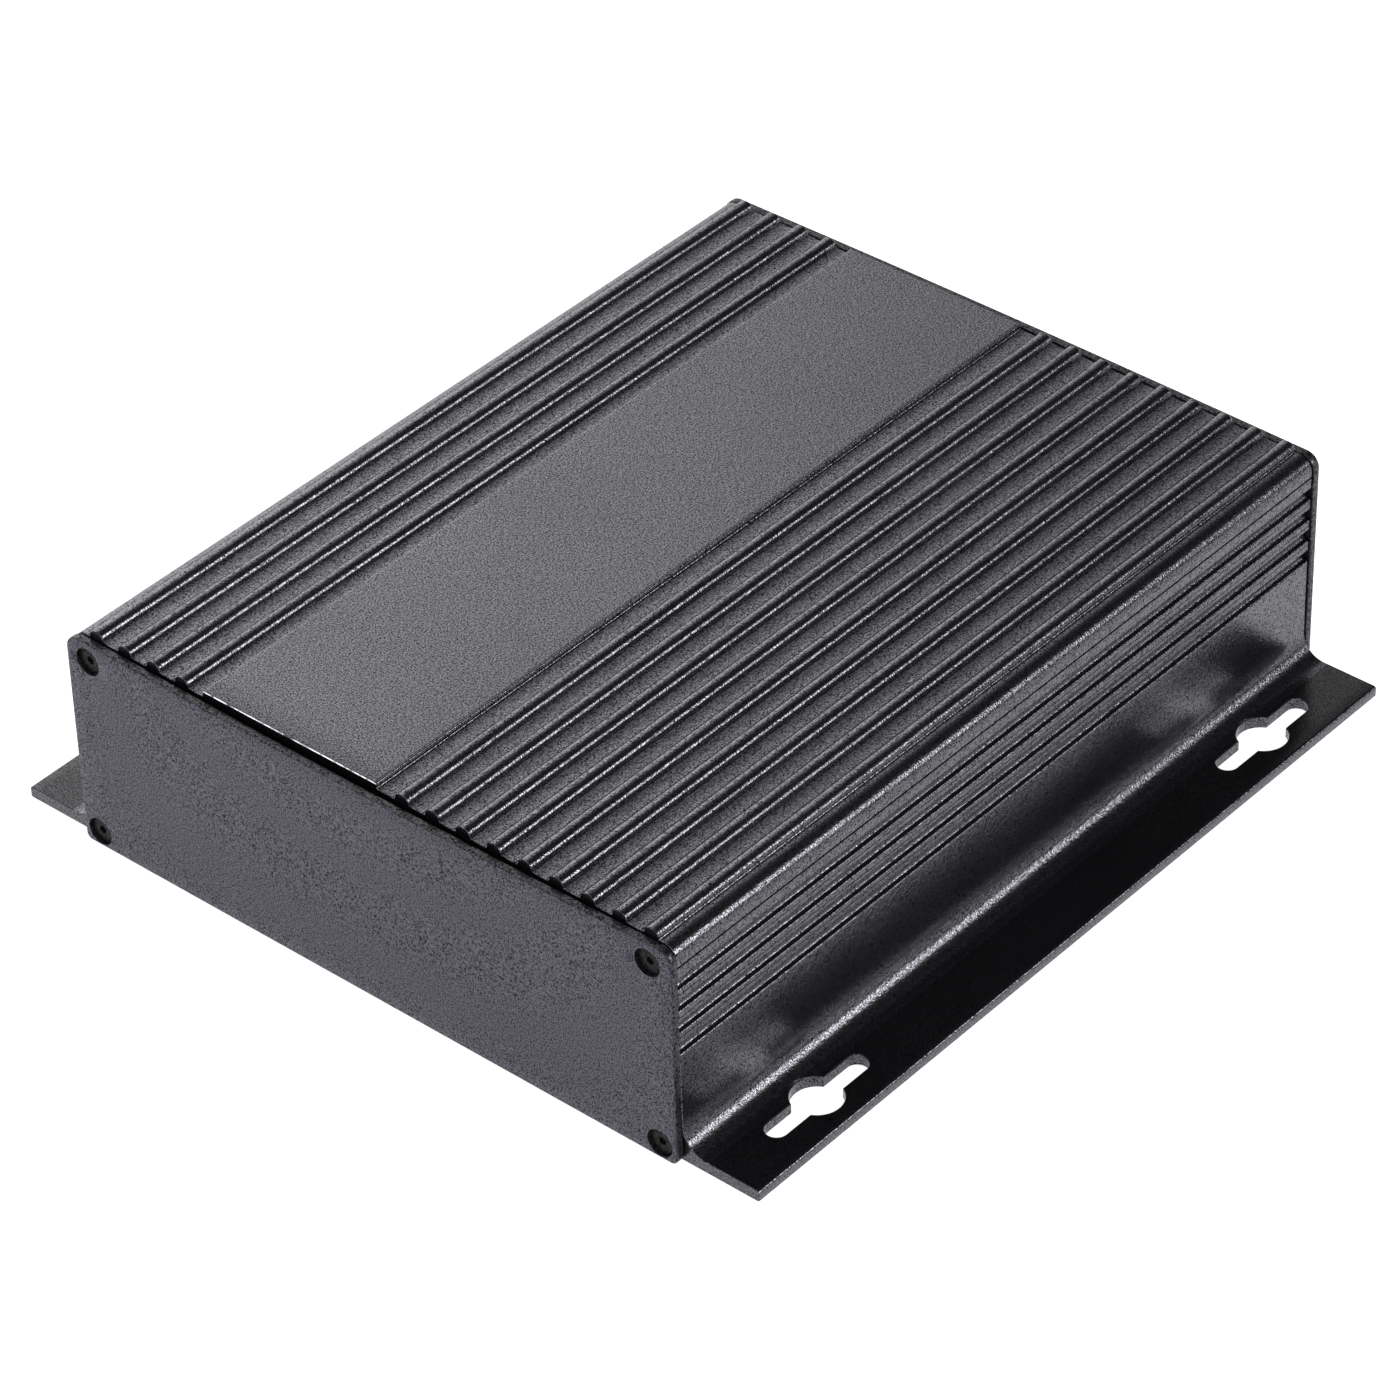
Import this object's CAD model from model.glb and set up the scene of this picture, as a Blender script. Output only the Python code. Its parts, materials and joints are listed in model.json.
"""Cellular signal booster: a ribbed, black anodised case closed by two end plates.

The case runs along Y, with X across it and Z up from its underside. The front plate is at
-Y; the rear plate, at +Y, carries the connectors, knobs, power inlet, switch and lamps.
Mesh helpers take millimetres in the CAD's own frame, and the main sizes and places come
from the boxes of CAD nodes.
"""

import json
import math

import bmesh
import bpy
import numpy as np
from mathutils import Matrix, Vector
from mathutils.geometry import delaunay_2d_cdt


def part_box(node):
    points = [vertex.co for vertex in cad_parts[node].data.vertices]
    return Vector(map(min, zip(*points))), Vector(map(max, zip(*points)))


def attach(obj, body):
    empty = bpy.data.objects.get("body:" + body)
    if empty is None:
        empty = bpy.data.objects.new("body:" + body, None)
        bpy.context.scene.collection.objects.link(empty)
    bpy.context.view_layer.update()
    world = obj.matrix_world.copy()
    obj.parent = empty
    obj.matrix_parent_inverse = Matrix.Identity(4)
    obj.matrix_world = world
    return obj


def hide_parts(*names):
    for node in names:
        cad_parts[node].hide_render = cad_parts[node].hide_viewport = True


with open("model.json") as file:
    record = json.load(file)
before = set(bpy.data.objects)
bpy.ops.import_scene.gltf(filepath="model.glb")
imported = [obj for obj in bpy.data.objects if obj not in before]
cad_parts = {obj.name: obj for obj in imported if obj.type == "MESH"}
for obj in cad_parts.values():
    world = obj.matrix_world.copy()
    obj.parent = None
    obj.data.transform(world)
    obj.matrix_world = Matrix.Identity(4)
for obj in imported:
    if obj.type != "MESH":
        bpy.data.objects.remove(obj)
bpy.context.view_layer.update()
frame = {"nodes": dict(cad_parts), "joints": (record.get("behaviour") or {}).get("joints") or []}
scene = bpy.context.scene
MILLI = 0.001


def mm_box(node):
    low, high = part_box(node)
    return np.array(low) / MILLI, np.array(high) / MILLI


def box_centre(node, axis=0):
    low, high = mm_box(node)
    return (low[axis] + high[axis]) / 2


# ---------------------------------------------------------------- sizes, in mm
SIDE_X, CASE_Y, COVER_Z = mm_box("top_cover")[1]
FLANGE_X = mm_box("base_body")[1][0]
(_, INNER_Y, _), (_, OUTER_Y, _) = mm_box("rear_plate")
(_, _, PLATE_Z0), (PLATE_HALF_X, _, PLATE_Z1) = mm_box("front_plate")
PLATE_T = OUTER_Y - INNER_Y
BEHIND = -PLATE_T                   # inner face of a plate, measured from its outer face

RIB_H = 1.7
RIB_HALF = 1.75
RIB_PITCH = 7.3
OUTER_RIB_X = 67.4
TOP_Z = COVER_Z - RIB_H             # flat between the ribs
PANEL_X0, PANEL_X1, PANEL_H = -39.9, 2.9, 1.2

FLANGE_T = 2.5
WALL_FOOT_X = 73.3
FILLET_R = 5.0
FILLET_X = WALL_FOOT_X + FILLET_R   # where the wall's fillet meets the flange
SEAM_Z = 44.2
SEAM_HALF_GAP = 0.15
LIP_T = 2.6                         # wall thickness at the seam

TOP_SCREW = (68.1, 44.25)           # x, z of the plate screws on the right
BOTTOM_SCREW = (69.6, 3.4)
CHANNEL_R = 1.4                     # screw channels in the extrusions
SLIT_HALF = 0.65

PORT_Z = 20.0
DIALS = ("uplink", "downlink")
JACKS = ("outdoor", "indoor")


# ---------------------------------------------------------------- mesh helpers
def mesh_object(name, shape, materials=(), face_slots=None):
    """A welded mesh object from (verts, faces) in mm."""
    verts, faces = shape
    mesh = bpy.data.meshes.new(name)
    mesh.from_pydata([(x * MILLI, y * MILLI, z * MILLI) for x, y, z in verts], [], faces)
    for material in materials:
        mesh.materials.append(material)
    if face_slots is not None:
        mesh.polygons.foreach_set("material_index", np.asarray(face_slots, np.int32))
    edit = bmesh.new()
    edit.from_mesh(mesh)
    bmesh.ops.remove_doubles(edit, verts=edit.verts, dist=1e-8)
    bmesh.ops.recalc_face_normals(edit, faces=edit.faces)
    edit.to_mesh(mesh)
    edit.free()
    obj = bpy.data.objects.new(name, mesh)
    scene.collection.objects.link(obj)
    return obj


def smooth(mesh, angle):
    mesh.shade_smooth()
    mesh.set_sharp_from_angle(angle=math.radians(angle))


def make(name, shape, materials, node=None, body="case", angle=30, face_slots=None):
    """A piece that rides on a CAD body and stands for a CAD node, if one is given."""
    materials = materials if isinstance(materials, list) else [materials]
    obj = mesh_object(name, shape, materials, face_slots)
    smooth(obj.data, angle)
    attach(obj, body)
    if node:
        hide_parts(node)
    return obj


def arc(centre_u, centre_w, r, start, end, n):
    """n + 1 points on an arc, with its angles in degrees."""
    angles = [math.radians(start + (end - start) * i / n) for i in range(n + 1)]
    return [(centre_u + r * math.cos(a), centre_w + r * math.sin(a)) for a in angles]


def moved(points, x, z):
    return [(x + u, z + w) for u, w in points]


def mirrored(points):
    """The same run of points on the other side of X = 0, walked backwards."""
    return [(-x, z) for x, z in reversed(points)]


def circle(r, n=48):
    turns = [2 * math.pi * i / n for i in range(n)]
    return [(r * math.cos(a), r * math.sin(a)) for a in turns]


def hexagon(flat_r, corner_r=math.inf, n=48):
    """A hexagon whose corners are turned off at corner_r."""
    points = []
    for i in range(n):
        angle = 2 * math.pi * i / n
        from_flat = (angle + math.pi / 6) % (math.pi / 3) - math.pi / 6
        r = min(flat_r / math.cos(from_flat), corner_r)
        points.append((r * math.cos(angle), r * math.sin(angle)))
    return points


def round_rect(half_x, half_z, r, n=6):
    x, z = half_x - r, half_z - r
    corners = ((x, z, 0), (-x, z, 90), (-x, -z, 180), (x, -z, 270))
    return [p for u, w, start in corners for p in arc(u, w, r, start, start + 90, n)]


def turned(rows, n=48):
    """Loft sections of a turned shape, from (radius, offset) rows."""
    return [(circle(r, n), offset) for r, offset in rows]


def band(ring_a, ring_b):
    """Quads between two closed rings of vertex indices."""
    n = len(ring_a)
    following = [(i, (i + 1) % n) for i in range(n)]
    return [(ring_a[i], ring_a[j], ring_b[j], ring_b[i]) for i, j in following]


def loft(sections, centre=(0, 0, 0), closed=False, axis="Y"):
    """Joins (outline, offset) sections along an axis, capped or closed into a ring."""
    x, y, z = centre
    verts, faces = [], []
    for outline, offset in sections:
        for u, w in outline:
            verts.append((x + u, y + offset, z + w) if axis == "Y" else (x + u, y + w, z + offset))
    n = len(sections[0][0])
    rings = [range(k * n, (k + 1) * n) for k in range(len(sections))]
    for ring_a, ring_b in zip(rings, rings[1:] + (rings[:1] if closed else [])):
        faces += band(ring_a, ring_b)
    if not closed:
        faces += [tuple(rings[0]), tuple(rings[-1])]
    return verts, faces


def core_slots(shape, bands, n):
    """Second material on a capped loft's first bands and first cap."""
    slots = [0] * len(shape[1])
    slots[:bands * n] = [1] * (bands * n)
    slots[-2] = 1
    return slots


def offset_outline(outline, inset):
    """Moves a closed outline inwards by one inset, or by one for each point."""
    points = np.array(outline)
    after, before = np.roll(points, -1, 0), np.roll(points, 1, 0)
    leaving, arriving = after - points, points - before
    leaving /= np.maximum(np.linalg.norm(leaving, axis=1), 1e-9)[:, None]
    arriving /= np.maximum(np.linalg.norm(arriving, axis=1), 1e-9)[:, None]
    along = arriving + leaving
    normal = np.stack([-along[:, 1], along[:, 0]], 1)
    normal /= np.maximum(np.linalg.norm(normal, axis=1), 1e-6)[:, None]
    area = 0.5 * np.sum(points[:, 0] * after[:, 1] - after[:, 0] * points[:, 1])
    sign = 1 if area > 0 else -1
    return points + sign * normal * np.full(len(points), inset)[:, None]


# ---------------------------------------------------------------- shader helpers
class Graph:
    """A cleared node tree, with short calls for the nodes used here."""

    def __init__(self, tree):
        tree.nodes.clear()
        self.tree = tree

    def feed(self, socket, value):
        """Links a socket to an input, or sets the input's value."""
        if isinstance(value, bpy.types.NodeSocket):
            self.tree.links.new(value, socket)
        else:
            socket.default_value = value

    def node(self, kind, inputs=(), **settings):
        node = self.tree.nodes.new("ShaderNode" + kind)
        for name, value in settings.items():
            setattr(node, name, value)
        for key, value in dict(inputs).items():
            self.feed(node.inputs[key], value)
        return node

    def math(self, operation, first, second):
        return self.node("Math", {0: first, 1: second}, operation=operation).outputs[0]

    def map_range(self, value, span, to, interpolation="LINEAR"):
        """Maps a value from one (low, high) span to another, clamped."""
        inputs = {"From Min": span[0], "From Max": span[1], "To Min": to[0], "To Max": to[1],
                  "Value": value}
        return self.node("MapRange", inputs, interpolation_type=interpolation).outputs["Result"]

    def curve(self, value, stops):
        """A smooth curve through (value, level) stops, as a sum of clamped steps."""
        total = stops[0][1]
        for (start, level), (end, next_level) in zip(stops, stops[1:]):
            step = self.map_range(value, (start, end), (0.0, next_level - level), "SMOOTHSTEP")
            total = self.math("ADD", step, total)
        return total


class Surface(Graph):
    """A Principled material under construction; textures are placed in object space."""

    def __init__(self, name, textured=True):
        self.material = bpy.data.materials.new(name)
        self.material.use_nodes = True
        super().__init__(self.material.node_tree)
        output = self.node("OutputMaterial")
        self.shader = self.node("BsdfPrincipled")
        self.feed(output.inputs[0], self.shader.outputs[0])
        if textured:
            self.position = self.node("TexCoord").outputs["Object"]

    def set(self, name, value):
        self.feed(self.shader.inputs[name], value)

    def noise(self, scale, detail=2.0, rough=0.5, stretch=None):
        place = self.position
        if stretch:
            place = self.node("Mapping", {"Scale": stretch, "Vector": place}).outputs["Vector"]
        inputs = {"Scale": scale, "Detail": detail, "Roughness": rough, "Vector": place}
        return self.node("TexNoise", inputs).outputs["Fac"]

    def colour(self, factor, dark, light):
        inputs = {6: (*dark, 1), 7: (*light, 1), 0: factor}
        self.set("Base Color", self.node("Mix", inputs, data_type="RGBA").outputs[2])

    def bump(self, height, depth):
        """Relief, with its depth in mm."""
        inputs = {"Distance": depth * MILLI, "Strength": 1.0, "Height": height}
        self.set("Normal", self.node("Bump", inputs).outputs[0])


def shade(colour, factor):
    return tuple(min(1, c * factor) for c in colour)


# ---------------------------------------------------------------- kinds of material
MIDDLE = (0.3, 0.7)  # the span that most noise values fill


def blasted(name, colour, *, rough, ior, grain, depth, sparkle, tint=(1, 1, 1), level=0.5):
    """Blasted dark metal. Grain and depth are in mm; sparkle is the share by which the
    specular level varies."""
    surface = Surface(name)
    fine = surface.noise(scale=1000.0 / grain, detail=1.5, rough=0.6)
    medium = surface.noise(scale=1000.0 / (grain * 2.6), detail=1.0)
    slow = surface.noise(scale=28.0, detail=3.0, rough=0.55)
    height = surface.math("ADD", fine, surface.math("MULTIPLY", medium, 1.1))
    surface.bump(height, depth)
    speck = surface.noise(scale=1000.0 / (grain * 0.9), detail=2.0, rough=0.7)
    factor = surface.map_range(speck, span=(0.35, 0.65), to=(0, 1))
    surface.colour(factor, dark=shade(colour, 0.6), light=shade(colour, 1.6))
    grainy = surface.map_range(speck, span=MIDDLE, to=(rough + 0.05, rough - 0.05))
    blotchy = surface.map_range(slow, span=MIDDLE, to=(-0.04, 0.04))
    surface.set("Roughness", surface.math("ADD", grainy, blotchy))
    gloss = (level * (1 - sparkle), level * (1 + sparkle))
    surface.set("Specular IOR Level", surface.map_range(speck, span=(0.37, 0.63), to=gloss))
    surface.set("Specular Tint", (*tint, 1))
    surface.set("IOR", ior)
    return surface.material


def metal(name, colour, *, rough, scale=900.0, depth=0.003, stretch=None):
    """Bright metal with a faint mottle."""
    surface = Surface(name)
    mottle = surface.noise(scale=scale, detail=3.0, rough=0.6, stretch=stretch)
    factor = surface.map_range(mottle, span=MIDDLE, to=(0, 1))
    surface.colour(factor, dark=shade(colour, 0.88), light=shade(colour, 1.12))
    surface.set("Roughness", surface.map_range(mottle, MIDDLE, to=(rough - 0.06, rough + 0.06)))
    surface.set("Metallic", 1.0)
    surface.bump(mottle, depth)
    return surface.material


def plastic(name, colour, *, rough, scale=1400.0, depth=0.006, variation=0.10, coat=0.0,
            transmission=0.0):
    """Moulded or painted skin; a depth of 0 leaves it without relief."""
    surface = Surface(name)
    mottle = surface.noise(scale=scale, rough=0.6)
    factor = surface.map_range(mottle, span=MIDDLE, to=(0, 1))
    surface.colour(factor, shade(colour, 1 - variation), shade(colour, 1 + variation))
    span_rough = (max(0.03, rough - 0.04), rough + 0.04)
    surface.set("Roughness", surface.map_range(mottle, MIDDLE, to=span_rough))
    surface.set("IOR", 1.5)
    surface.set("Coat Weight", coat)
    surface.set("Transmission Weight", transmission)
    if depth:
        surface.bump(mottle, depth)
    return surface.material


def lens(name, colour):
    return plastic(name, colour, rough=0.10, scale=900.0, depth=0.0, variation=0.05, coat=0.3,
                   transmission=0.25)


def bare_edge(name):
    """A trimmed edge: bare metal shows in an uneven line through the black skin."""
    surface = Surface(name)
    streak = surface.noise(scale=260.0, detail=4.0, rough=0.65, stretch=(1.0, 0.15, 0.15))
    fine = surface.noise(scale=1700.0, rough=0.6)
    mixed = surface.math("ADD", streak, surface.math("MULTIPLY", fine, 0.25))
    bare = surface.map_range(mixed, span=(0.50, 0.66), to=(0, 1))
    surface.colour(bare, dark=(0.02, 0.02, 0.022), light=(0.93, 0.94, 0.97))
    surface.set("Metallic", bare)
    surface.set("Roughness", surface.map_range(fine, span=MIDDLE, to=(0.25, 0.45)))
    surface.bump(fine, depth=0.01)
    return surface.material


def laminate(name, colour):
    """Circuit board with a fine brick-like weave under a clear coat."""
    surface = Surface(name)
    weave = surface.node("TexBrick", {
        "Scale": 420.0, "Mortar Size": 0.012, "Color1": (*colour, 1),
        "Color2": (*shade(colour, 0.8), 1), "Mortar": (*shade(colour, 2.2), 1),
        "Vector": surface.position,
    })
    surface.set("Base Color", weave.outputs["Color"])
    mottle = surface.noise(scale=700.0)
    surface.set("Roughness", surface.map_range(mottle, span=MIDDLE, to=(0.22, 0.34)))
    surface.set("Coat Weight", 0.4)
    surface.bump(mottle, depth=0.004)
    return surface.material


# ---------------------------------------------------------------- materials
EXTRUSION = blasted("anodised_extrusion_skin", (0.0025, 0.0025, 0.003), rough=0.22, ior=1.72,
                    grain=0.35, depth=0.030, tint=(0.915, 0.90, 1.0), sparkle=1.0)
FLANGE_SKIN = blasted("anodised_flange_skin", (0.0022, 0.0022, 0.0026), rough=0.24, ior=1.72,
                      grain=0.34, depth=0.014, tint=(0.94, 0.93, 1.0), sparkle=0.8, level=0.2)
SHEET = blasted("anodised_sheet_skin", (0.003, 0.003, 0.004), rough=0.33, ior=1.69,
                grain=0.38, depth=0.025, tint=(0.80, 0.785, 1.0), sparkle=1.0, level=0.38)
SHEET_EDGE = blasted("anodised_sheet_edge", (0.0035, 0.0033, 0.0035), rough=0.36, ior=1.69,
                     grain=0.5, depth=0.05, tint=(0.90, 0.88, 1.0), sparkle=1.0, level=0.22)
BORE = blasted("bored_hole_skin", (0.003, 0.003, 0.0035), rough=0.38, ior=1.69,
               grain=0.5, depth=0.06, tint=(0.90, 0.89, 1.0), sparkle=1.0, level=0.6)
BARE = bare_edge("trimmed_edge_metal")
SCREW = blasted("black_oxide_steel", (0.003, 0.003, 0.003), rough=0.45, ior=1.5,
                grain=0.5, depth=0.01, sparkle=0.5, level=0.12)
NICKEL = metal("satin_nickel_plate", (0.63, 0.61, 0.57), rough=0.24, scale=1200.0, depth=0.002,
               stretch=(1, 6, 1))
INSULATOR = plastic("turned_fluoropolymer", (0.84, 0.84, 0.81), rough=0.42)
ZINC = metal("bright_zinc_plate", (0.60, 0.60, 0.585), rough=0.30, scale=1000.0, depth=0.004)
CERAMIC = metal("silvered_ceramic_skin", (0.72, 0.71, 0.68), rough=0.33, depth=0.004)
COAX = plastic("amber_coax_jacket", (0.34, 0.16, 0.06), rough=0.22, scale=500.0, depth=0.002)
POT_CAN = metal("stamped_can_plate", (0.45, 0.45, 0.46), rough=0.34, scale=700.0)
ALUMINIUM = metal("turned_aluminium", (0.72, 0.72, 0.73), rough=0.30, scale=1400.0,
                  stretch=(1, 8, 1))
KNOB = plastic("knob_moulding", (0.021, 0.021, 0.022), rough=0.44, scale=1600.0, depth=0.008)
CAN = metal("tinned_sheet_skin", (0.66, 0.66, 0.63), rough=0.30, scale=420.0)
EPOXY = plastic("chip_epoxy_skin", (0.022, 0.022, 0.024), rough=0.5, scale=1800.0)
PAD = plastic("silicone_pad_skin", (0.26, 0.38, 0.50), rough=0.7, scale=900.0, depth=0.010)
MOULDING = plastic("black_moulding_skin", (0.020, 0.020, 0.021), rough=0.42, scale=1700.0,
                   depth=0.008)
ROCKER = plastic("gloss_rocker_skin", (0.016, 0.016, 0.017), rough=0.14, scale=1500.0,
                 depth=0.001)
GREEN_LENS = lens("green_lens_resin", (0.10, 0.62, 0.18))
AMBER_LENS = lens("amber_lens_resin", (0.90, 0.42, 0.05))
BOARD = laminate("board_laminate_skin", (0.018, 0.135, 0.055))
FERRITE = plastic("pressed_ferrite", (0.055, 0.055, 0.058), rough=0.6, scale=1200.0,
                  depth=0.012)
SLEEVE = plastic("capacitor_sleeve_skin", (0.03, 0.045, 0.17), rough=0.22, scale=600.0,
                 depth=0.002)
RED = plastic("red_insulation", (0.50, 0.025, 0.018), rough=0.36, scale=800.0, depth=0.003)
BLACK_WIRE = plastic("black_insulation", (0.018, 0.018, 0.018), rough=0.36, scale=800.0,
                     depth=0.003)
PAINT = plastic("white_marking_ink", (0.80, 0.80, 0.79), rough=0.46, scale=1800.0, depth=0.004)


# ---------------------------------------------------------------- top cover
# (x, z) from a rib's foot on the flat
LEFT_FOOT = [(-0.80, 0), (-0.64, 0), (-0.58, -0.09), (-0.50, -0.12), (-0.42, -0.02),
             (-0.22, 0.01), (-0.06, 0.06)]
RIGHT_FOOT = [(0, 0.20), (0.06, 0.09), (0.12, 0.05), (0.19, 0.11)]
LAST_FOOT = [(0, 0.08), (0.05, 0), (0.12, -0.06), (0.18, 0), (0.4, 0)]


def cove(x, reach=2.2, rise=0.16):
    """The flat just right of a foot sweeps gently up towards it."""
    steps = (0.0, 0.3, 0.65, 1.05, 1.5, 2.0)
    sweep = [(x + u, TOP_Z + rise * (1 - u / reach) ** 2) for u in steps]
    return sweep + [(x + reach, TOP_Z)]


def rib(centre, last, n=22):
    """Flat-crowned round ridge with a fine crease at each foot, from left to right."""
    points = moved(LEFT_FOOT, centre - RIB_HALF, TOP_Z)
    for i in range(1, n):
        angle = math.pi * (1 - i / n)
        across = math.cos(angle)
        x = RIB_HALF * math.copysign(abs(across) ** 0.93, across)
        z = RIB_H * abs(math.sin(angle)) ** 0.93
        if z > 0.22:
            points.append((centre + x, TOP_Z + z))
    right = centre + RIB_HALF
    if last:
        return points + moved(LAST_FOOT, right, TOP_Z)
    return points + moved(RIGHT_FOOT, right, TOP_Z) + cove(right + 0.24)


def raised_panel():
    """The flat raised panel, from the field left of it up to its right edge's round."""
    x0, x1, top = PANEL_X0, PANEL_X1, TOP_Z + PANEL_H
    points = moved([(-1.0, 0), (-0.55, 0), (-0.42, 0.05), (-0.36, 0.16)], x0, TOP_Z)
    points += arc(x0, top - 0.36, 0.36, 180, 90, 5)
    points += [(x0 + 0.5 + (x1 - x0 - 1.5) * i / 6, top) for i in range(7)]
    points += moved([(-0.66, 0), (-0.56, -0.06), (-0.46, -0.06), (-0.38, 0)], x1, top)
    return points + arc(x1 - 0.26, top - 0.26, 0.26, 90, 0, 5)


def cover_underside():
    """Right half of the cover's inside, from the outer wall in, round the screw channel."""
    x, z = TOP_SCREW
    wall, mouth = x + 2.2, x - 2.6
    half_gap = math.degrees(math.asin(SLIT_HALF / CHANNEL_R))
    points = [(wall, SEAM_Z + SEAM_HALF_GAP), (wall, z - 2.3), (mouth, z - 2.3),
              (mouth, z - SLIT_HALF)]
    points += arc(x, z, CHANNEL_R, -180 + half_gap, 180 - half_gap, 16)
    return points + [(mouth, z + SLIT_HALF), (mouth, TOP_Z - 2.0)]


def cover_outline():
    """Closed (x, z) section, and a flag for each point on the panel's raised part."""
    left_ribs = [-OUTER_RIB_X + RIB_PITCH * i for i in range(4)]
    right_ribs = [OUTER_RIB_X - RIB_PITCH * i for i in range(9)][::-1]
    bottom = SEAM_Z + SEAM_HALF_GAP
    shoulder = 3.1
    points = [(-SIDE_X + 0.12, bottom), (-SIDE_X, bottom + 0.12)]
    points += arc(-SIDE_X + shoulder, TOP_Z - shoulder, shoulder, 180, 90, 18)
    for x in left_ribs:
        points += rib(x, last=False)
    panel_start = len(points) + 3
    points += raised_panel()
    panel_end = len(points)
    points += [(PANEL_X1, TOP_Z + 0.56)]
    points += arc(PANEL_X1 + 0.42, TOP_Z + 0.44, 0.41, 180, 248, 8)
    points += moved([(0.31, -0.02), (0.40, -0.02), (0.47, 0.10)], PANEL_X1, TOP_Z)
    points += cove(PANEL_X1 + 0.54, reach=1.9, rise=0.14)
    for x in right_ribs:
        points += rib(x, last=x == right_ribs[-1])
    points += arc(SIDE_X - shoulder, TOP_Z - shoulder, shoulder, 90, 0, 18)
    points += [(SIDE_X, bottom + 0.12), (SIDE_X - 0.12, bottom)]
    inside_half = cover_underside()
    points += inside_half + mirrored(inside_half)
    on_panel = np.zeros(len(points), bool)
    on_panel[panel_start:panel_end] = True
    return points, on_panel


def make_cover():
    outline, on_panel = cover_outline()
    # y, inset of the outline, inset of its raised panel
    stations = [(-CASE_Y, 0.10, 0.20), (-CASE_Y + 0.12, 0.0, 0.05), (-CASE_Y + 0.30, 0.0, 0.0)]
    stations += [(y, 0.0, 0.0) for y in np.linspace(-CASE_Y + 6, CASE_Y - 6, 25)]
    stations += [(CASE_Y - 0.12, 0.0, 0.0), (CASE_Y, 0.10, 0.10)]
    shape = loft([(offset_outline(outline, np.where(on_panel, panel_inset, inset)), y)
                  for y, inset, panel_inset in stations])
    # bare metal on the panel's front edge
    slots = [0] * len(shape[1])
    for i in range(len(outline)):
        if on_panel[i] and on_panel[(i + 1) % len(outline)]:
            slots[i] = 1
    make("top_cover_shell", shape, [EXTRUSION, BARE], "top_cover",
         angle=24, face_slots=slots)


make_cover()


# ---------------------------------------------------------------- base extrusion
GROOVE_HALF, GROOVE_DEPTH = 1.3, 1.1
# z of each side groove, and of the fine scored line above it, from the groove's top
GROOVES = ((25.85, 1.3), (30.75, 0.9), (35.65, 1.1), (40.5, None))


def base_side():
    """Right flange and outer wall, from the underside's centre up to the seam."""
    x = SIDE_X
    points = [(0.0, 0.0), (FLANGE_X - 0.45, 0.0)]
    points += arc(FLANGE_X - 0.45, 0.45, 0.45, 270, 360, 4)[1:]
    points += arc(FLANGE_X - 0.55, FLANGE_T - 0.55, 0.55, 0, 90, 5)
    points += [(FLANGE_X - 3.0, FLANGE_T), (FILLET_X + 3.6, FLANGE_T),
               (FILLET_X + 0.9, FLANGE_T)]
    points += arc(FILLET_X, FLANGE_T + FILLET_R, FILLET_R, 270, 180, 24)
    # the wall curves from its foot out to the case side
    low, high = FLANGE_T + FILLET_R, 23.85
    for i in range(1, 17):
        rise = i / 16
        points.append((x + (WALL_FOOT_X - x) * (1 - rise) ** 2.4, low + (high - low) * rise))
    lip, floor_r = 0.36, 0.72
    floor_x = x - GROOVE_DEPTH
    for centre, line_rise in GROOVES:
        bottom, top = centre - GROOVE_HALF, centre + GROOVE_HALF
        points += [(x, bottom - lip - 0.2)] + arc(x - lip, bottom - lip, lip, 0, 90, 6)
        points += arc(floor_x + floor_r, bottom + floor_r, floor_r, 270, 180, 12)
        points += arc(floor_x + 0.18, top - 0.18, 0.18, 180, 90, 3)
        points += arc(x - 0.14, top + 0.14, 0.14, 270, 360, 4)
        points += [(x, top + 0.3)]
        if line_rise:
            score = [(0, -0.2), (0, -0.10), (-0.09, -0.05), (-0.09, 0.03), (0, 0.08), (0, 0.2)]
            points += moved(score, x, top + line_rise)
    seam = [(0, -0.5), (0, -0.14), (-0.04, -0.04), (-0.14, 0), (-LIP_T, 0)]
    return points + moved(seam, x, SEAM_Z - SEAM_HALF_GAP)


def base_inside():
    """Right inner wall, from below its lip down past the board guides to the floor."""
    guide, wall = 66.2, 68.4
    board_z0, board_z1 = 9.1, 10.7
    x, z = BOTTOM_SCREW
    points = [
        (SIDE_X - LIP_T, 24.0), (wall, 20.0), (wall, board_z1 + 1.7), (guide, board_z1 + 1.7),
        (guide, board_z1 + 0.3), (wall, board_z1 + 0.3), (wall, board_z0 - 0.3),
        (guide, board_z0 - 0.3), (guide, board_z0 - 1.5), (wall, board_z0 - 1.5),
        (wall, 5.8), (66.6, 5.8), (66.6, z + SLIT_HALF),
    ]
    upper = 180 - math.degrees(math.asin(SLIT_HALF / CHANNEL_R))
    lower = -180 + math.degrees(math.asin((z - 2.5) / CHANNEL_R))
    return points + arc(x, z, CHANNEL_R, upper, lower, 16) + [(0.0, 2.5)]


def keyhole(x, y, grow):
    """Double-ended keyhole in plan, grown outwards: a round eye with a slot each way."""
    slot_half, eye_r, reach = 2.25, 5.05, 13.5
    end = reach - slot_half
    slot_r, eye = slot_half + grow, eye_r + grow
    neck = math.degrees(math.asin(slot_r / eye))
    points = arc(0, end, slot_r, 0, 180, 20) + arc(0, 0, eye, 90 + neck, 270 - neck, 24)
    points += arc(0, -end, slot_r, 180, 360, 20) + arc(0, 0, eye, -90 + neck, 90 - neck, 24)
    return moved(points, x, y)


def cut(obj, cutters):
    """Applies exact differences and leaves a plain mesh."""
    for cutter in cutters:
        modifier = obj.modifiers.new("cut", "BOOLEAN")
        modifier.operation = "DIFFERENCE"
        modifier.solver = "EXACT"
        modifier.object = cutter
    bpy.context.view_layer.update()
    evaluated = obj.evaluated_get(bpy.context.evaluated_depsgraph_get())
    result = bpy.data.meshes.new_from_object(evaluated)
    obj.modifiers.clear()
    uncut = obj.data
    obj.data = result
    bpy.data.meshes.remove(uncut)
    for cutter in cutters:
        bpy.data.objects.remove(cutter)


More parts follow.
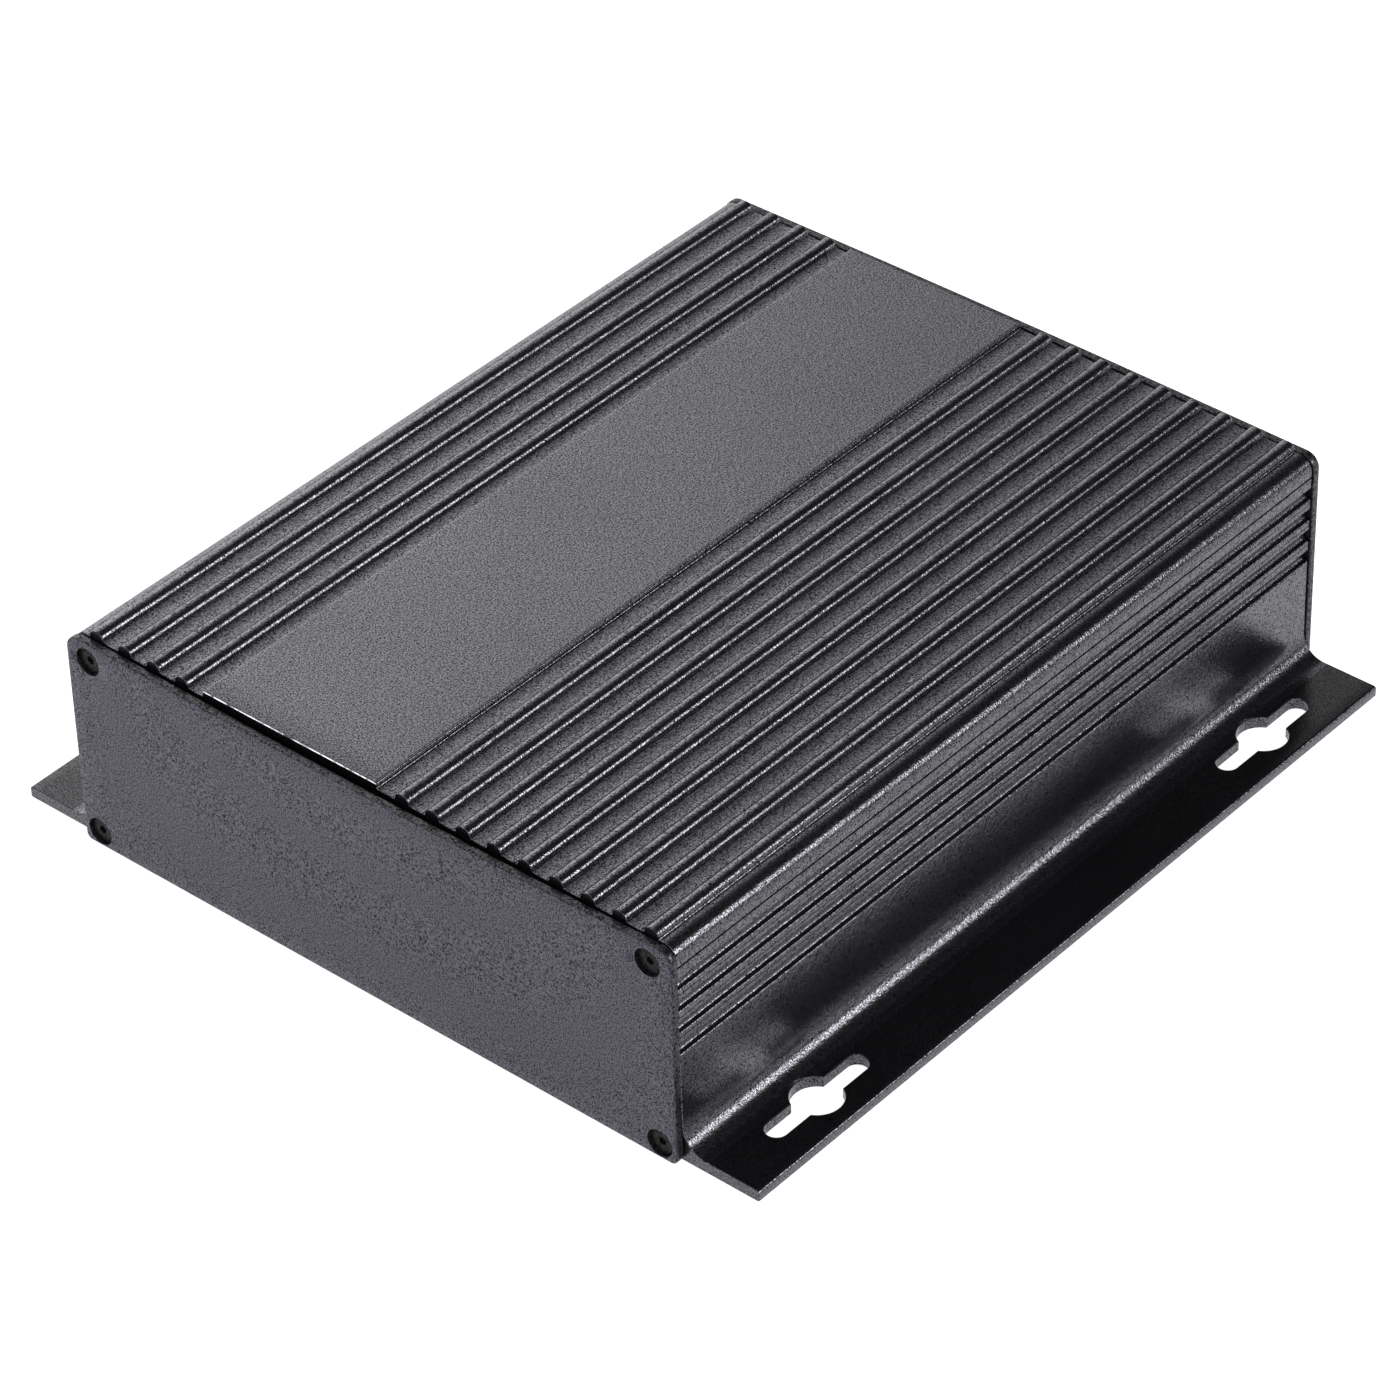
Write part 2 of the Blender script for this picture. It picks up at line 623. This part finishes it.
def make_base():
    half = base_side() + base_inside()
    outline = half + mirrored([p for p in half if p[0] > 1e-9])
    stations = [(-CASE_Y, 0.10), (-CASE_Y + 0.12, 0.0)]  # y, inset
    stations += [(y, 0.0) for y in np.linspace(-CASE_Y + 6, CASE_Y - 6, 9)]
    stations += [(CASE_Y - 0.12, 0.0), (CASE_Y, 0.10)]
    verts, faces = loft([(offset_outline(outline, inset), y) for y, inset in stations])

    def on_flange(i):
        return abs(verts[i][0]) > FILLET_X + 0.05 and verts[i][2] > FLANGE_T - 0.2

    slots = [1 if len(face) == 4 and all(map(on_flange, face)) else 0 for face in faces]
    base = make("base_extrusion", (verts, faces), [EXTRUSION, FLANGE_SKIN],
                "base_body", angle=24, face_slots=slots)
    # growth and z of each keyhole section, up to a broken top edge
    levels = ((0.9, -0.7), (0.0, 0.2), (0.0, FLANGE_T - 0.22), (0.06, FLANGE_T - 0.10),
              (0.20, FLANGE_T), (1.0, FLANGE_T + 0.7))
    cutters = []
    for x in (-82.4, 82.4):
        for y in (-67.0, 67.0):
            sections = [(keyhole(x, y, grow), z) for grow, z in levels]
            cutters.append(mesh_object("keyhole_cutter", loft(sections, axis="Z")))
    cut(base, cutters)
    smooth(base.data, 24)


make_base()


# ---------------------------------------------------------------- end plates
# (inset, depth) round a plate's edge, from its outer face to its inner face
PLATE_EDGE = [(0.28, 0.0), (0.16, 0.03), (0.07, 0.10), (0.02, 0.2), (0.0, 0.34),
              (0.0, PLATE_T - 0.24), (0.05, PLATE_T - 0.08), (0.2, PLATE_T)]


def plate_outline(inset, n=12):
    """Plate outline, with its straight runs split about every 3 mm."""
    r, foot = 3.0 - inset, 1.4 - inset
    x, z0, z1 = PLATE_HALF_X - inset, PLATE_Z0 + inset, PLATE_Z1 - inset
    corners = arc(x - r, z1 - r, r, 0, 90, n) + arc(-x + r, z1 - r, r, 90, 180, n)
    corners += arc(-x + foot, z0 + foot, foot, 180, 270, n)
    corners += arc(x - foot, z0 + foot, foot, 270, 360, n)
    points = []
    for (xa, za), (xb, zb) in zip(corners, corners[1:] + corners[:1]):
        count = max(1, round(math.hypot(xb - xa, zb - za) / 3.0))
        points += [(xa + (xb - xa) * i / count, za + (zb - za) * i / count)
                   for i in range(count)]
    return points


def inside(outline, x, z):
    result = False
    for (x0, z0), (x1, z1) in zip(outline, outline[1:] + outline[:1]):
        if (z0 > z) != (z1 > z) and x < (x1 - x0) * (z - z0) / (z1 - z0) + x0:
            result = not result
    return result


def sheet_face(outer, holes):
    """Triangles of a flat region with holes, with inner grid points so that it can bow."""
    points, edges = [], []
    for ring in [outer] + holes:
        first = len(points)
        points += [Vector(p) for p in ring]
        edges += [(first + i, first + (i + 1) % len(ring)) for i in range(len(ring))]

    def in_sheet(x, z):
        return inside(outer, x, z) and not any(inside(ring, x, z) for ring in holes)

    rim = np.array([[p.x, p.y] for p in points])
    for x in np.arange(-70, 70.1, 3.5):
        for z in np.arange(3, 47, 3.5):
            if in_sheet(x, z) and np.min(np.hypot(rim[:, 0] - x, rim[:, 1] - z)) > 1.3:
                points.append(Vector((float(x), float(z))))
    found, _, triangles, *_ = delaunay_2d_cdt(points, edges, [], 0, 1e-6)
    kept = []
    for triangle in triangles:
        x = sum(found[i].x for i in triangle) / 3
        z = sum(found[i].y for i in triangle) / 3
        if in_sheet(x, z):
            kept.append(tuple(triangle))
    return [(p.x, p.y) for p in found], kept


def plate(side, sign, holes, bow_height, bow_start):
    """A sheet with rolled edges, bowed outwards above bow_start. Each hole is a list of
    (outline, depth) rings from the outer face in."""
    verts, faces, slots = [], [], []

    def put(x, z, depth):
        rise = max(0.0, (z - bow_start) / (48.5 - bow_start)) ** 1.5
        bow = bow_height * max(0.0, 1 - (x / 68) ** 2) * rise
        verts.append((x, sign * (OUTER_Y - depth + bow), z))
        return len(verts) - 1

    def add_bands(rings, slot_of):
        for k, (ring_a, ring_b) in enumerate(zip(rings, rings[1:])):
            quads = band(ring_a, ring_b)
            faces.extend(quads)
            slots.extend([slot_of(k)] * len(quads))

    for depth, end in ((0.0, 0), (PLATE_T, -1)):
        rim = plate_outline(PLATE_EDGE[end][0])
        points, triangles = sheet_face(rim, [rings[end][0] for rings in holes])
        ids = [put(x, z, depth) for x, z in points]
        faces += [tuple(ids[i] for i in triangle) for triangle in triangles]
        slots += [0] * len(triangles)
    rings = [[put(x, z, depth) for x, z in plate_outline(inset)] for inset, depth in PLATE_EDGE]
    add_bands(rings, lambda k: 1 if k >= 2 else 0)
    for hole in holes:
        rings = [[put(x, z, depth) for x, z in outline] for outline, depth in hole]
        add_bands(rings, lambda k: 2 if k else 0)
    make(side + "_end_plate", (verts, faces), [SHEET, SHEET_EDGE, BORE],
         side + "_plate", angle=28, face_slots=slots)


def counterbore(x, z):
    rings = ((2.95, 0.0), (2.92, 0.05), (2.92, 1.3), (1.75, 1.3), (1.75, PLATE_T))
    return [(moved(outline, x, z), depth) for outline, depth in turned(rings)]


def plain_hole(outline, grow, x, z=PORT_Z):
    """A hole with a broken outer edge."""
    edge = []
    for u, w in outline:
        factor = 1 + grow / max(math.hypot(u, w), 1e-6)
        edge.append((u * factor, w * factor))
    inner = moved(outline, x, z)
    return [(moved(edge, x, z), 0.0), (inner, 0.15), (inner, PLATE_T)]


CORNERS = [
    ("top_left", -TOP_SCREW[0], TOP_SCREW[1]), ("top_right", *TOP_SCREW),
    ("bottom_left", -BOTTOM_SCREW[0], BOTTOM_SCREW[1]), ("bottom_right", *BOTTOM_SCREW),
]
JACK_X = [box_centre(tag + "_antenna_jack") for tag in JACKS]
KNOB_X = [box_centre(tag + "_gain_knob") for tag in DIALS]
LAMPS = (
    ("power_status", GREEN_LENS, "green_lens"),
    ("uplink_status", AMBER_LENS, "amber_lens"),
    ("downlink_status", GREEN_LENS, "green_lens"),
)
LAMP_X = [box_centre(tag + "_lens") for tag, _, _ in LAMPS]
LAMP_Z = box_centre(LAMPS[0][0] + "_lens", axis=2)
INLET_X = box_centre("dc_power_jack")
SWITCH_X = box_centre("power_switch_housing")

screw_holes = [counterbore(x, z) for _, x, z in CORNERS]
rear_holes = screw_holes + [plain_hole(circle(8.2, 56), 0.12, x) for x in JACK_X]
rear_holes += [plain_hole(circle(3.8, 32), 0.1, x) for x in KNOB_X]
rear_holes += [plain_hole(circle(1.75, 28), 0.08, x, LAMP_Z) for x in LAMP_X]
rear_holes.append(plain_hole(circle(6.0, 40), 0.1, INLET_X))
rear_holes.append(plain_hole(round_rect(9.8, 6.6, 0.3, 3), 0.05, SWITCH_X))
plate("front", -1, screw_holes, bow_height=0.85, bow_start=0.0)
plate("rear", 1, rear_holes, bow_height=0.55, bow_start=42.0)


# ---------------------------------------------------------------- plate screws
def screw(x, z, sign):
    """Sunk cap screw with a hexagonal socket and a ringed shank; depths run inwards."""
    face, under = 0.75, 1.2
    sections = [
        (circle(0.2), face + 0.80), (hexagon(0.70), face + 0.66), (hexagon(0.76), face + 0.08),
        (hexagon(0.82), face),
    ]
    sections += turned([(1.5, face), (2.40, face), (2.53, face + 0.04), (2.6, face + 0.13),
                        (2.6, under - 0.05), (2.5, under), (1.15, under)])
    depth = 1.9
    while depth < 7.9:
        sections += turned([(1.15, depth), (0.98, depth + 0.2), (1.15, depth + 0.4)])
        depth += 0.5
    sections += turned([(1.1, 8.3), (0.8, 8.5)])
    return loft([(outline, -sign * d) for outline, d in sections], (x, sign * OUTER_Y, z))


for sign, side in ((-1, "front"), (1, "rear")):
    for tag, x, z in CORNERS:
        make(f"{side}_screw_{tag}", screw(x, z, sign), SCREW,
             f"plate_screw_{side}_{tag}")


# Rear fittings are centred on the rear plate's outer face, with offsets outwards along +Y.
# ---------------------------------------------------------------- antenna connectors
def threaded_circle(radius, offset, start, end, pitch=1.058, depth=0.55, n=72):
    """One section of a helical thread that fades out at both ends."""
    fade = min(1.0, max(0.0, (offset - start) / 0.5), max(0.0, (end - offset) / 0.5))
    points = []
    for i in range(n):
        angle = 2 * math.pi * i / n
        phase = (offset / pitch - i / n) % 1.0
        r = radius - depth * fade * (1 - abs(2 * phase - 1)) ** 0.9
        points.append((r * math.cos(angle), r * math.sin(angle)))
    return points


def connector_shell(centre, out):
    """Threaded socket, with its flange and stem behind the plate."""
    barrel = 7.9
    sections = turned([
        (4.4, out - 9.0), (4.4, out - 2.0), (4.55, out - 1.85), (5.45, out - 1.5),
        (5.6, out - 1.3), (5.6, out - 0.15), (5.75, out), (barrel - 0.62, out),
        (barrel - 0.5, out - 0.06),
    ], 72)
    sections += [(threaded_circle(barrel, offset, 4.4, out - 0.45), offset)
                 for offset in np.arange(out - 0.5, 4.4, -0.132)]
    sections += turned([
        (barrel, 4.3), (barrel, BEHIND - 0.3), (9.5, BEHIND - 0.3), (9.6, BEHIND - 0.4),
        (9.6, BEHIND - 3.2), (9.5, BEHIND - 3.3), (5.0, BEHIND - 3.3), (5.0, BEHIND - 8.9),
        (4.9, BEHIND - 9.0), (2.2, BEHIND - 9.0), (2.2, out - 9.0),
    ], 72)
    return loft(sections, centre, closed=True)


def insulator_bead(centre, out):
    """White bead round the metal centre contact, which takes the first six bands."""
    return loft(turned([
        (0.80, out - 6.0), (0.85, out - 5.9), (0.85, out - 3.15), (1.0, out - 3.0),
        (1.5, out - 3.0), (1.6, out - 3.12), (1.6, out - 7.5), (4.0, out - 7.5),
        (4.1, out - 7.6), (4.1, out - 8.8), (1.9, out - 8.8), (1.9, BEHIND - 10.0),
    ], 32), centre)


# (radius, offset)
WASHER = [(8.15, 0.35), (8.22, 0.3), (10.3, 0.3), (10.4, 0.38), (10.4, 1.02), (10.3, 1.1),
          (8.22, 1.1), (8.15, 1.05)]
# (radius to the flats, radius at the corners, offset)
LOCK_NUT = [(8.3, 8.3, 1.4), (9.1, 9.9, 1.4), (9.5, 10.55, 1.75), (9.5, 10.96, 2.0),
            (9.5, 10.96, 3.6), (9.5, 10.55, 3.85), (9.1, 9.9, 4.2), (8.3, 8.3, 4.2)]

for tag, x in zip(JACKS, JACK_X):
    centre = (x, OUTER_Y, PORT_Z)
    out = mm_box(tag + "_antenna_jack")[1][1] - OUTER_Y
    make(tag + "_antenna_connector", connector_shell(centre, out), NICKEL,
         tag + "_antenna_jack")
    bead = insulator_bead(centre, out)
    make(tag + "_insulator_bead", bead, [INSULATOR, NICKEL],
         tag + "_jack_insulator", face_slots=core_slots(bead, 6, 32))
    make(tag + "_spring_washer", loft(turned(WASHER, 64), centre, closed=True), ZINC,
         tag + "_jack_washer")
    sections = [(hexagon(flat, corner, 72), offset) for flat, corner, offset in LOCK_NUT]
    sections = [(circle(8.15, 72), 1.5)] + sections + [(circle(8.15, 72), 4.1)]
    make(tag + "_lock_nut", loft(sections, centre, closed=True), ZINC,
         tag + "_jack_nut", angle=22)


# ---------------------------------------------------------------- gain controls
KNOB_N = 120
FIRST_MARK = 210.0  # degrees anticlockwise from +Z towards -X, where the scale starts


def fluted(r, depth, count=20):
    points = []
    for i in range(KNOB_N):
        angle = 2 * math.pi * i / KNOB_N
        flute = (math.cos(count * angle) * 0.5 + 0.5) ** 2.2
        points.append(((r - depth * flute) * math.cos(angle),
                       (r - depth * flute) * math.sin(angle)))
    return points


def on_dial(x, degrees, across, along):
    """(x, z) of a place along and across a ray from a dial's centre."""
    angle = math.radians(degrees)
    ray_x, ray_z = -math.sin(angle), math.cos(angle)
    return x + along * ray_x + across * ray_z, PORT_Z + along * ray_z - across * ray_x


def pot_can():
    """Potentiometer can behind the plate, with its ringed bush through the plate."""
    rows = [(3.15, 2.9), (3.2, 3.0), (3.42, 3.0), (3.5, 2.92)]
    rows += [(3.5 - 0.12 * (i % 2), 2.8 - 0.125 * i) for i in range(24)]
    rows += [(3.5, BEHIND - 0.3), (7.6, BEHIND - 0.3), (7.8, BEHIND - 0.5),
             (7.8, BEHIND - 7.1), (7.6, BEHIND - 7.3), (3.15, BEHIND - 7.3)]
    return turned(rows, 56)


def control_nut():
    return [
        (circle(3.75), 0.35), (hexagon(3.85, 3.85), 0.3), (hexagon(4.8, 5.2), 0.3),
        (hexagon(5.0), 0.55), (hexagon(5.0), 1.85), (hexagon(4.8, 5.2), 2.1),
        (hexagon(3.85, 3.85), 2.1), (circle(3.75), 2.05),
    ]


def knob():
    """Fluted knob on a plain skirt, from the bottom of its bore round to its top."""
    sections = turned([
        (3.0, 11.2), (3.15, 11.1), (3.15, 3.7), (3.25, 3.6), (6.3, 3.6), (6.4, 3.7),
        (6.4, 4.5), (6.3, 4.62), (6.0, 4.7),
    ], KNOB_N)
    sections += [(fluted(5.9, 0.45), 5.0), (fluted(5.5, 0.42), 12.7),
                 (fluted(5.42, 0.30), 12.95), (fluted(5.2, 0.12), 13.2)]
    return sections + turned([(4.9, 13.38), (4.7, 13.42), (4.5, 13.40), (3.6, 13.32),
                              (2.0, 13.28)], KNOB_N)


def pointer(x):
    """White bar on the knob's top, aimed at the first scale mark."""
    bar = round_rect(0.36, 1.75, 0.34, 5)
    flat, faces = loft([(bar, 0.0), (bar, 0.16), (round_rect(0.30, 1.69, 0.30, 5), 0.208)])
    verts = []
    for across, height, along in flat:
        mark_x, mark_z = on_dial(x, FIRST_MARK, across, along + 2.9)
        verts.append((mark_x, OUTER_Y + 13.26 + height, mark_z))
    return verts, faces


def scale_marks(x):
    """Eleven printed ticks round the dial, with the ends and the middle heavier."""
    start = 7.9
    quads = ((0, 1, 2, 3), (4, 5, 6, 7), (0, 1, 5, 4), (1, 2, 6, 5), (2, 3, 7, 6), (3, 0, 4, 7))
    verts, faces = [], []
    for k in range(11):
        length, half = (1.5, 0.22) if k in (0, 5, 10) else (1.0, 0.16)
        end = start + length
        first = len(verts)
        for height in (0.0, 0.06):
            for along, across in ((start, -half), (start, half), (end, half), (end, -half)):
                mark_x, mark_z = on_dial(x, FIRST_MARK + 30.0 * k, across, along)
                verts.append((mark_x, OUTER_Y - 0.01 + height, mark_z))
        faces += [tuple(first + i for i in quad) for quad in quads]
    return verts, faces


for tag, x in zip(DIALS, KNOB_X):
    centre = (x, OUTER_Y, PORT_Z)
    body = tag + "_gain_control"
    make(tag + "_gain_pot_can", loft(pot_can(), centre, closed=True), POT_CAN,
         tag + "_gain_pot")
    make(tag + "_control_nut", loft(control_nut(), centre, closed=True), ZINC,
         tag + "_pot_nut", angle=22)
    make(tag + "_knob", loft(knob(), centre), KNOB, tag + "_gain_knob", body)
    make(tag + "_knob_pointer", pointer(x), PAINT, body=body)
    make(tag + "_gain_scale_marks", scale_marks(x), PAINT)

# ---------------------------------------------------------------- power inlet
# (radius, offset), from the metal pin's tip down the bore and out round the body
INLET = [
    (0.4, 0.85), (0.85, 0.75), (1.0, 0.4), (1.0, -11.0), (2.8, -11.0), (2.8, 1.5),
    (2.95, 1.85), (3.3, 2.25), (3.5, 2.3), (6.3, 2.3), (6.75, 2.18), (7.05, 1.9), (7.2, 1.5),
    (7.2, 0.38), (7.1, 0.3), (5.6, 0.3), (5.6, -14.9), (5.5, -15.0),
]
inlet = loft(turned(INLET, 56), (INLET_X, OUTER_Y, PORT_Z))
make("power_inlet", inlet, [MOULDING, NICKEL], "dc_power_jack",
     face_slots=core_slots(inlet, 3, 56))

# ---------------------------------------------------------------- power switch
# half width, half height, corner radius, offset; from inside the well to behind the plate
BEZEL = [
    (8.1, 5.1, 0.25, -14.0), (8.1, 5.1, 0.25, 1.9), (8.25, 5.25, 0.3, 2.12),
    (8.5, 5.5, 0.4, 2.2), (9.7, 6.7, 0.8, 2.2), (10.3, 7.25, 1.0, 1.95),
    (10.6, 7.5, 1.1, 1.45), (10.6, 7.5, 1.1, 0.38), (10.5, 7.4, 1.1, 0.3),
    (9.5, 6.3, 0.25, 0.3), (9.5, 6.3, 0.25, -15.9), (9.4, 6.2, 0.25, -16.0),
]
sections = [(round_rect(half_x, half_z, r), offset) for half_x, half_z, r, offset in BEZEL]
make("switch_bezel", loft(sections, (SWITCH_X, OUTER_Y, PORT_Z)), MOULDING,
     "power_switch_housing")

PIVOT_Y = frame["joints"][0]["pos_m"][1] / MILLI
TILT = math.radians(-11.0)


def tilted(x, y):
    """A place on the upright rocker, about its pivot, turned to its tilt."""
    return (SWITCH_X + x * math.cos(TILT) - y * math.sin(TILT),
            PIVOT_Y + x * math.sin(TILT) + y * math.cos(TILT))


def rocker_face(x):
    """Height of the rocker's dished face above the pivot."""
    return 4.22 + 0.80 * abs(x / 6.4) ** 1.8


def rocker():
    profile = [(-7.28, 3.3), (-7.22, 3.62), (-7.0, 3.9)]
    for i in range(13):
        x = -6.4 + 12.8 * (i / 12)
        profile.append((x, rocker_face(x)))
    profile += [(7.0, 3.9), (7.22, 3.62), (7.28, 3.3), (6.2, -1.3), (5.9, -1.5), (2.4, -4.3),
                (-2.4, -4.3), (-5.9, -1.5), (-6.2, -1.3)]
    # inset of the profile, z from the pivot
    stations = ((0.22, -4.78), (0.06, -4.70), (0.0, -4.5), (0.0, 4.5), (0.06, 4.70),
                (0.22, 4.78))
    sections = [([tilted(x, y) for x, y in offset_outline(profile, inset)], z)
                for inset, z in stations]
    return loft(sections, (0, 0, PORT_Z), axis="Z")


make("switch_rocker", rocker(), ROCKER, "power_switch_rocker",
     "power_switch_rocker")


def rocker_mark(name, *outlines):
    """A thin printed mark on the rocker's face: an (x, z) outline and perhaps its hole."""
    verts = []
    for lift in (-0.02, 0.05):
        for outline in outlines:
            for x, z in outline:
                verts.append((*tilted(x, rocker_face(x) + lift), PORT_Z + z))
    n = len(outlines[0])
    rings = [range(i, i + n) for i in range(0, len(verts), n)]
    if len(outlines) == 2:
        bands = [band(rings[a], rings[b]) for a, b in ((0, 1), (2, 3), (0, 2), (1, 3))]
        faces = [quad for quads in zip(*bands) for quad in quads]
    else:
        faces = band(*rings) + [tuple(ring) for ring in rings]
    make(name, (verts, faces), PAINT, body="power_switch_rocker")


MARK_X = 4.1
rocker_mark("rocker_on_mark", moved(round_rect(0.17, 1.25, 0.12, 3), -MARK_X, 0))
rocker_mark("rocker_off_mark", moved(circle(1.25, 36), MARK_X, 0),
            moved(circle(0.95, 36), MARK_X, 0))

# ---------------------------------------------------------------- status lamps
LAMP_R, DOME_H = 1.5, 1.3
for (tag, material, slot), x in zip(LAMPS, LAMP_X):
    rows = [(LAMP_R, -7.0), (LAMP_R, 0.0)]
    for angle in map(math.radians, (8, 20, 32, 44, 56, 68, 78, 86)):
        rows.append((max(0.12, LAMP_R * math.cos(angle)), DOME_H * math.sin(angle)))
    make(tag + "_lamp", loft(turned(rows, 32), (x, OUTER_Y, LAMP_Z)), material,
         tag + "_lens", angle=40)

# ---------------------------------------------------------------- carried CAD pieces
CARRIED = {
    "dc_jack_nut": ZINC, "power_switch_pin": ZINC, "indicator_board": BOARD,
    "main_circuit_board": BOARD, "control_processor": EPOXY, "voltage_regulator": EPOXY,
    "power_inductor": FERRITE, "input_capacitor": SLEEVE, "output_capacitor": SLEEVE,
    "positive_power_lead": RED, "switched_power_lead": RED, "negative_power_lead": BLACK_WIRE,
}
for tag in JACKS:
    CARRIED.update({tag + "_duplexer": CERAMIC, tag + "_coax_lead": COAX})
for tag in DIALS:
    CARRIED.update({
        tag + "_pot_shaft": ALUMINIUM, tag + "_heat_spreader": ALUMINIUM,
        tag + "_shield_can": CAN, tag + "_power_amplifier": EPOXY,
        tag + "_driver_amplifier": EPOXY, tag + "_thermal_pad": PAD,
    })
for name, material in CARRIED.items():
    slots = frame["nodes"][name].data.materials
    if slots:
        for i in range(len(slots)):
            slots[i] = material
    else:
        slots.append(material)


# ---------------------------------------------------------------- floor
def make_floor(half=4.0, z=-0.0002):
    """Pale glowing floor just under the case, in metres."""
    surface = Surface("pale_floor", textured=False)
    surface.set("Base Color", (0.45, 0.45, 0.45, 1))
    surface.set("Roughness", 0.9)
    surface.set("Specular IOR Level", 0.0)
    surface.set("Emission Color", (0.97, 0.97, 1, 1))
    # slightly dimmer to the camera than to other rays
    seen = surface.node("LightPath").outputs["Is Camera Ray"]
    surface.set("Emission Strength", surface.map_range(seen, span=(0.0, 1.0), to=(0.96, 0.90)))
    mesh = bpy.data.meshes.new("floor")
    corners = [(-half, -half, z), (half, -half, z), (half, half, z), (-half, half, z)]
    mesh.from_pydata(corners, [], [(0, 1, 2, 3)])
    mesh.materials.append(surface.material)
    floor = bpy.data.objects.new("floor", mesh)
    scene.collection.objects.link(floor)


make_floor()


# ---------------------------------------------------------------- light
def make_world():
    """Soft boxes painted into the surroundings, by direction. Roll is the angle in degrees
    about Y from straight up towards +X; y is the direction's Y part."""
    world = bpy.data.worlds.new("studio")
    scene.world = world
    world.use_nodes = True
    graph = Graph(world.node_tree)
    output = graph.node("OutputWorld")
    background = graph.node("Background")
    graph.feed(output.inputs[0], background.outputs[0])
    direction = graph.node("TexCoord").outputs["Generated"]
    x, y, z = graph.node("SeparateXYZ", {0: direction}).outputs
    roll = graph.math("MULTIPLY", graph.math("ARCTAN2", x, z), 180 / math.pi)

    def lobe(by_roll, by_y):
        return graph.math("MULTIPLY", graph.curve(roll, by_roll), graph.curve(y, by_y))

    # towards +Y: broad light on the left, and a strong narrow key low on the right
    back = lobe(
        by_roll=[(-115, 0.5), (-92, 0.8), (-74, 2.7), (-48, 2.7), (-32, 1.0), (-18, 0.35),
                 (0, 0.12), (12, 0.08), (90, 0.10), (110, 0.7)],
        by_y=[(0.10, 0.0), (0.30, 1.0), (0.57, 1.0), (0.71, 0.42), (0.9, 0.25)])
    key = lobe(
        by_roll=[(50, 0.0), (55, 13.5), (72, 13.5), (78, 0.4), (110, 0.6)],
        by_y=[(0.10, 0.0), (0.25, 1.0), (0.578, 1.0), (0.622, 0.0)])
    back = graph.math("ADD", back, key)
    # towards -Y: soft fill
    front = lobe(
        by_roll=[(-100, 0.9), (-70, 1.6), (-30, 1.5), (0, 0.7), (25, 0.9), (50, 2.2),
                 (75, 1.6), (100, 0.9)],
        by_y=[(-0.30, 1.0), (-0.10, 0.0)])
    middle_level = 1.0
    middle = graph.curve(y, [(-0.30, 0.0), (-0.10, 1.0), (0.10, 1.0), (0.30, 0.0)])
    middle = graph.math("MULTIPLY", middle, middle_level)
    total = graph.math("ADD", graph.math("ADD", back, front), middle)
    # an even level of 1 below the horizon
    below = graph.curve(z, [(-0.05, 1.0), (0.0, 0.0)])
    above = graph.math("SUBTRACT", 1.0, below)
    total = graph.math("ADD", graph.math("MULTIPLY", total, above), below)
    background.inputs["Color"].default_value = (1, 1, 1, 1)
    graph.feed(background.inputs["Strength"], total)


make_world()


# ---------------------------------------------------------------- camera
def make_camera():
    """Looks down from the front right; azimuth runs from -Y towards +X."""
    azimuth, elevation, roll = (math.radians(a) for a in (41.3777, 37.6819, -1.578))
    distance, shift_x, shift_y = 1135.5783, 1.5859, -8.7814  # mm, along the camera's axes
    target = np.array([0, 0, 0.1])
    away = np.array([math.sin(azimuth) * math.cos(elevation),
                     -math.cos(azimuth) * math.cos(elevation), math.sin(elevation)])
    right = np.array([math.cos(azimuth), math.sin(azimuth), 0.0])
    up = np.cross(away, right)
    axes = np.array([right * math.cos(roll) + up * math.sin(roll),
                     -right * math.sin(roll) + up * math.cos(roll), away])
    place = axes.T @ np.array([-shift_x, -shift_y, distance]) + target
    data = bpy.data.cameras.new("camera")
    data.sensor_width = 36.0
    data.lens = 151.8803049
    data.clip_start = 0.05
    data.clip_end = 20.0
    camera = bpy.data.objects.new("camera", data)
    matrix = Matrix(axes.T.tolist()).to_4x4()
    matrix.translation = Vector([float(value) * MILLI for value in place])
    camera.matrix_world = matrix
    scene.collection.objects.link(camera)
    scene.camera = camera


make_camera()

scene.view_settings.view_transform = "Standard"
scene.view_settings.look = "None"
scene.view_settings.exposure = 0.0
scene.view_settings.gamma = 1.0

bpy.context.view_layer.update()
